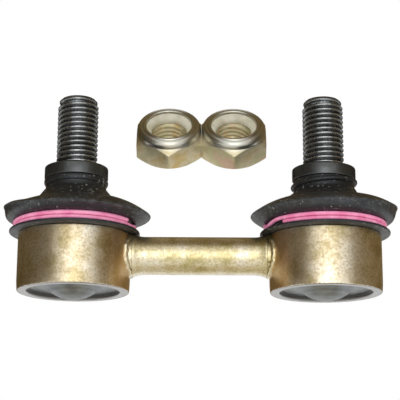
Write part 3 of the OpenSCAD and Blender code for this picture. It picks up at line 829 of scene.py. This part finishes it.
# Zinc with a pale iridescent passivation: bright champagne metal with drifting straw, pink and green tints.
nut_zinc, tree, shader, place = new_finish("pale_passivated_zinc", Metallic=1.0)
drift = add_node(tree, "ShaderNodeTexNoise", {"Vector": place, "Scale": per(5), "Detail": 2.0})
tints = add_node(tree, "ShaderNodeValToRGB", {
    "Fac": drift["Fac"]},
    stops=[(0.3, "#dcc792"), (0.44, "#e2d8ba"), (0.56, "#d2cda6"), (0.72, "#dabfa8")])
mark = add_node(tree, "ShaderNodeTexNoise", {
    "Vector": place, "Scale": per(0.9), "Detail": 4.0, "Roughness": 0.7})
mark_shade = add_node(tree, "ShaderNodeValToRGB", {
    "Fac": mark["Fac"]}, stops=[(0.34, "#8f8468"), (0.55, "#ffffff")])
marked = add_node(tree, "ShaderNodeMix", {
    0: 0.15, 6: tints["Color"], 7: mark_shade["Color"]}, data_type="RGBA", blend_type="MULTIPLY")
# The forged flats are satin; the rolled edge is smoother and greyer. The height runs up the nut's own axis.
nut_axis = Vector((0, -math.sin(math.radians(NUT_TILT)), math.cos(math.radians(NUT_TILT))))
up_nut = add_node(tree, "ShaderNodeVectorMath", {0: place, 1: nut_axis}, operation="DOT_PRODUCT")
nut_foot = nut_axis.dot(Vector((0, NUT_Y, NUT_Z)))
on_roll = add_node(tree, "ShaderNodeMapRange", {
    "Value": up_nut["Value"], "From Min": (nut_foot + HEX_H - 0.4) * MM,
    "From Max": (nut_foot + HEX_H + 0.3) * MM, "To Min": 0.0, "To Max": 0.7})
rolled_tint = add_node(tree, "ShaderNodeMix", {
    0: on_roll["Result"], 6: marked[2], 7: linear("#bcbfbd")}, data_type="RGBA")
nut_dull = add_node(tree, "ShaderNodeMapRange", {
    "Value": on_roll["Result"], "To Min": 0.58, "To Max": 0.22})
nut_bump = add_node(tree, "ShaderNodeBump", {
    "Height": mark["Fac"], "Strength": 0.12, "Distance": 0.03 * MM})
feed(tree, shader, {
    "Base Color": rolled_tint[2], "Roughness": nut_dull["Result"], "Normal": nut_bump["Normal"]})

hex_angles = [math.radians(60 * s + d) for s in range(6) for d in SECTOR]
even_angles = [2 * math.pi * (k - len(HALF_SECTOR)) / len(hex_angles) for k in range(len(hex_angles))]
hex_reach = [FLAT_R / math.cos(math.radians(d)) for s in range(6) for d in SECTOR]


def hex_row(inset, height_at):
    """A row round the hexagon, drawn in by an inset, each point at the height that its reach gives."""
    return [
        ((r - inset) * math.cos(a), (r - inset) * math.sin(a), height_at(r))
        for r, a in zip(hex_reach, hex_angles)]


def top_edge(reach):
    """Height at which the top cone meets the hexagon, lower towards the corners."""
    drop = TOP_DROP + ROLL_STEP
    return HEX_H + ROLL_STEP - drop * (reach - ROLL_R) / (CORNER_R - ROLL_R)


def low_edge(reach):
    """Height at which the bottom cone meets the hexagon."""
    return FOOT_DROP * (reach - FLAT_R) / (CORNER_R - FLAT_R) + 0.05


rolled_edge = eased([
    (NUT_ROOT_R, POCKET_LOW, 0), (POCKET_R, POCKET_LOW, 0.05), (POCKET_R, POCKET_TOP, 0.05),
    (MOUTH_R, POCKET_TOP, 0.15), (MOUTH_R, NUT_TOP - 0.2, 0.15), (MOUTH_R + 0.35, NUT_TOP, 0.1),
    (MOUTH_R + 0.75, NUT_TOP, 0.1), (MOUTH_R + 0.95, NUT_TOP - 0.3, 0.05)])
rolled_edge += arc((ROLL_R - ROLL_ROUND[0], HEX_H + ROLL_WALL), ROLL_ROUND, 66, 0, 10)
rolled_edge += [(ROLL_R, HEX_H + ROLL_STEP + 0.06)]
foot = eased([
    (FLAT_R - 0.05, 0.0, 0), (NUT_ROOT_R + THREAD_LEAD, 0.0, 0.1), (NUT_ROOT_R, THREAD_LEAD, 0)])
nut_rows = [ring(r, z, even_angles) for r, z in rolled_edge]
nut_rows += [
    hex_row(0.12, lambda r: top_edge(r) + 0.09), hex_row(0.02, lambda r: top_edge(r) - 0.03),
    hex_row(0.0, lambda r: top_edge(r) - 0.14), hex_row(0.0, lambda r: low_edge(r) + 0.1)]
nut_rows += [hex_row(0.05, low_edge)] + [ring(r, z, even_angles) for r, z in foot]
nut_place = {}
for side in SIDES:
    at = Vector((NUT_X[side], NUT_Y, NUT_Z)) * MM
    nut_place[side] = Matrix.Translation(at) @ Matrix.Rotation(math.radians(NUT_TILT), 4, "X")
    grown = thread(nut_zinc, NUT_BORE_R, NUT_ROOT_R, THREAD_LEAD, POCKET_LOW, run_in=0.6, run_out=0.4)
    nut = skin(f"{side}_nut_hexagon", [nut_rows], nut_place[side], nut_zinc, grown=grown)
    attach(nut, f"{side}_nut")
    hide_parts(f"{side}_nut")


# Nylon inserts
# A ring of nylon in each nut's pocket, held by the rolled edge; its bore is a little under the thread.
# It is cut from tube, and its bore opens in a cone that leads the stud in.
INSERT_BORE_R = 4.65
INSERT_R = 6.55
INSERT_LOW = 5.25
INSERT_TOP = 7.7
INSERT_LEAD = 6.2
INSERT_FIT = 0.05
INSERT_MID_R = 5.6

# Natural nylon: milky white, waxy, slightly see-through, a little yellowed.
nylon, tree, shader, place = new_finish(
    "natural_nylon", IOR=1.53, Subsurface_Weight=0.15, Subsurface_Scale=0.6 * MM)
milk = add_node(tree, "ShaderNodeTexNoise", {"Vector": place, "Scale": per(2.5), "Detail": 3.0})
milky = add_node(tree, "ShaderNodeValToRGB", {
    "Fac": milk["Fac"]}, stops=[(0.36, "#b7b199"), (0.66, "#cbc6b3")])
waxy = add_node(tree, "ShaderNodeMapRange", {
    "Value": milk["Fac"], "From Min": 0.3, "From Max": 0.7, "To Min": 0.35, "To Max": 0.5})
feed(tree, shader, {"Base Color": milky["Color"], "Roughness": waxy["Result"]})

insert_profile = eased([
    (INSERT_MID_R, INSERT_LOW, 0), (INSERT_R, INSERT_LOW, 0.1), (INSERT_R, POCKET_TOP - INSERT_FIT, 0.1),
    (MOUTH_R - INSERT_FIT, POCKET_TOP - INSERT_FIT, 0.05), (MOUTH_R - INSERT_FIT, INSERT_TOP, 0.15),
    (INSERT_BORE_R, INSERT_LEAD, 0.5), (INSERT_BORE_R, INSERT_LOW, 0.4),
    (INSERT_MID_R, INSERT_LOW, 0)])[:-1]
for side in SIDES:
    insert = skin(
        f"{side}_insert_ring", [[ring(r, z) for r, z in insert_profile]], nut_place[side], nylon, loop=True)
    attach(insert, f"{side}_nut")
    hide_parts(f"{side}_nut_insert")


# Camera
# Low in front of the link, looking up a little, as the photograph was taken.
CAMERA_AT = Vector((0, -300, -52.36)) * MM
CAMERA_AIM = Vector((0, 0, 24)) * MM
CAMERA_ROLL = 0.28
FOCAL_PIXELS = 1220.9
PRINCIPAL_PIXELS = (200.0, 199.6)
IMAGE_PIXELS = 400
camera_data = bpy.data.cameras.new("camera")
camera_data.sensor_width = 36
camera_data.lens = FOCAL_PIXELS / IMAGE_PIXELS * camera_data.sensor_width
camera_data.shift_x = (IMAGE_PIXELS / 2 - PRINCIPAL_PIXELS[0]) / IMAGE_PIXELS
camera_data.shift_y = (PRINCIPAL_PIXELS[1] - IMAGE_PIXELS / 2) / IMAGE_PIXELS
camera_data.clip_start = 0.01
camera = bpy.data.objects.new("camera", camera_data)
camera.location = CAMERA_AT
facing = (CAMERA_AIM - CAMERA_AT).to_track_quat("-Z", "Y").to_matrix().to_4x4()
camera.rotation_euler = (facing @ Matrix.Rotation(math.radians(CAMERA_ROLL), 4, "Z")).to_euler()
bpy.context.scene.collection.objects.link(camera)
bpy.context.scene.camera = camera


# Floor
# A plain pale floor under the housings. The camera stands below it, so from below it is see-through;
# from above it shows the shadow. It hides nothing from the lamps.
FLOOR_HALF = 2.0
FLOOR_Z = -0.02 * MM
floor_mesh = bpy.data.meshes.new("floor")
corners = [(x * FLOOR_HALF, y * FLOOR_HALF, FLOOR_Z) for x, y in ((-1, -1), (1, -1), (1, 1), (-1, 1))]
floor_mesh.from_pydata(corners, [], [(0, 1, 2, 3)])
floor = bpy.data.objects.new("floor", floor_mesh)
bpy.context.scene.collection.objects.link(floor)
pale, tree, shader, place = new_finish("pale_floor", Roughness=0.9)
paper = add_node(tree, "ShaderNodeTexNoise", {"Vector": place, "Scale": per(2), "Detail": 3.0})
paper_white = add_node(tree, "ShaderNodeValToRGB", {
    "Fac": paper["Fac"]}, stops=[(0.3, "#e6e6e4"), (0.7, "#eeeeec")])
feed(tree, shader, {"Base Color": paper_white["Color"]})
seen_side = add_node(tree, "ShaderNodeNewGeometry", {})
clear = add_node(tree, "ShaderNodeBsdfTransparent", {})
one_sided = add_node(tree, "ShaderNodeMixShader", {
    0: seen_side["Backfacing"], 1: shader.outputs[0], 2: clear[0]})
feed(tree, tree.nodes["Material Output"], {"Surface": one_sided[0]})
floor_mesh.materials.append(pale)
floor.visible_diffuse = False
floor.visible_glossy = False
floor.visible_shadow = False


# Light
# One tall soft lamp behind the camera, a weak one overhead, a white surround, and cards that only
# reflections see: dark ones at the sides, behind and above, which give round metal its dark flanks, and a
# pale one below.
CARD_X = 0.5
CARD_NEAR = -0.5
LEFT_CARD_NEAR = -0.76
CARD_FAR = 1.4
CARD_LOW = -0.15
CARD_HIGH = 0.6
LOW_CARD = ((-0.25, -0.14, -0.4), (0.25, 0.3, -0.4))
CARD_BROWN = "#55462a"
CARD_PALER = "#776543"
CARD_PALE = "#cfc5ae"


def lamp(name, at, aim, width, height, radiance, mirrored):
    """A flat soft lamp whose face has the given radiance; metal shows it where it is mirrored."""
    data = bpy.data.lights.new(name, "AREA")
    data.shape = "RECTANGLE"
    data.size = width
    data.size_y = height
    data.energy = radiance * math.pi * width * height
    light = bpy.data.objects.new(name, data)
    light.location = at
    light.rotation_euler = (Vector(aim) - Vector(at)).to_track_quat("-Z", "Y").to_euler()
    light.visible_camera = False
    light.visible_glossy = mirrored
    bpy.context.scene.collection.objects.link(light)


def card(name, low, high, colour):
    """A plain card between two opposite corners, square to the axes, that only reflections see."""
    turn = next(i for i in range(3) if low[i] != high[i])
    second = [high[i] if i == turn else low[i] for i in range(3)]
    fourth = [low[i] if i == turn else high[i] for i in range(3)]
    mesh = bpy.data.meshes.new(name)
    mesh.from_pydata([low, second, high, fourth], [], [(0, 1, 2, 3)])
    made = bpy.data.objects.new(name, mesh)
    bpy.context.scene.collection.objects.link(made)
    paint = bpy.data.materials.new(name)
    paint.use_nodes = True
    paint.node_tree.nodes.clear()
    glow = add_node(paint.node_tree, "ShaderNodeEmission", {"Color": linear(colour), "Strength": 1.0})
    add_node(paint.node_tree, "ShaderNodeOutputMaterial", {"Surface": glow[0]})
    mesh.materials.append(paint)
    made.visible_camera = False
    made.visible_diffuse = False
    made.visible_shadow = False
    made.visible_transmission = False


lamp(
    "front_lamp", at=(0.03, -0.65, 0.0), aim=(0, 0, 0.025), width=0.36, height=0.48, radiance=1.72,
    mirrored=True)
lamp(
    "top_lamp", at=(-0.12, -0.1, 0.45), aim=(0, 0, 0.02), width=0.22, height=0.22, radiance=1.5,
    mirrored=False)
card("left_card", (-CARD_X, LEFT_CARD_NEAR, CARD_LOW), (-CARD_X, CARD_FAR, CARD_HIGH), CARD_BROWN)
card("right_card", (CARD_X, CARD_NEAR, CARD_LOW), (CARD_X, CARD_FAR, CARD_HIGH), CARD_PALER)
card("top_card", (-CARD_X, CARD_NEAR, CARD_HIGH), (CARD_X, CARD_FAR, CARD_HIGH), CARD_PALER)
card("back_card", (-CARD_X, CARD_FAR, CARD_LOW), (CARD_X, CARD_FAR, CARD_HIGH), CARD_PALER)
card("low_card", *LOW_CARD, CARD_PALE)

world = bpy.data.worlds.new("studio")
bpy.context.scene.world = world
world.use_nodes = True
tree = world.node_tree
tree.nodes.clear()
# The surround is plain white at strength 1: it is the background and the fill light in one.
surround = add_node(tree, "ShaderNodeBackground", {"Color": (1, 1, 1, 1), "Strength": 1.0})
add_node(tree, "ShaderNodeOutputWorld", {"Surface": surround[0]})
bpy.context.scene.view_settings.view_transform = "Standard"
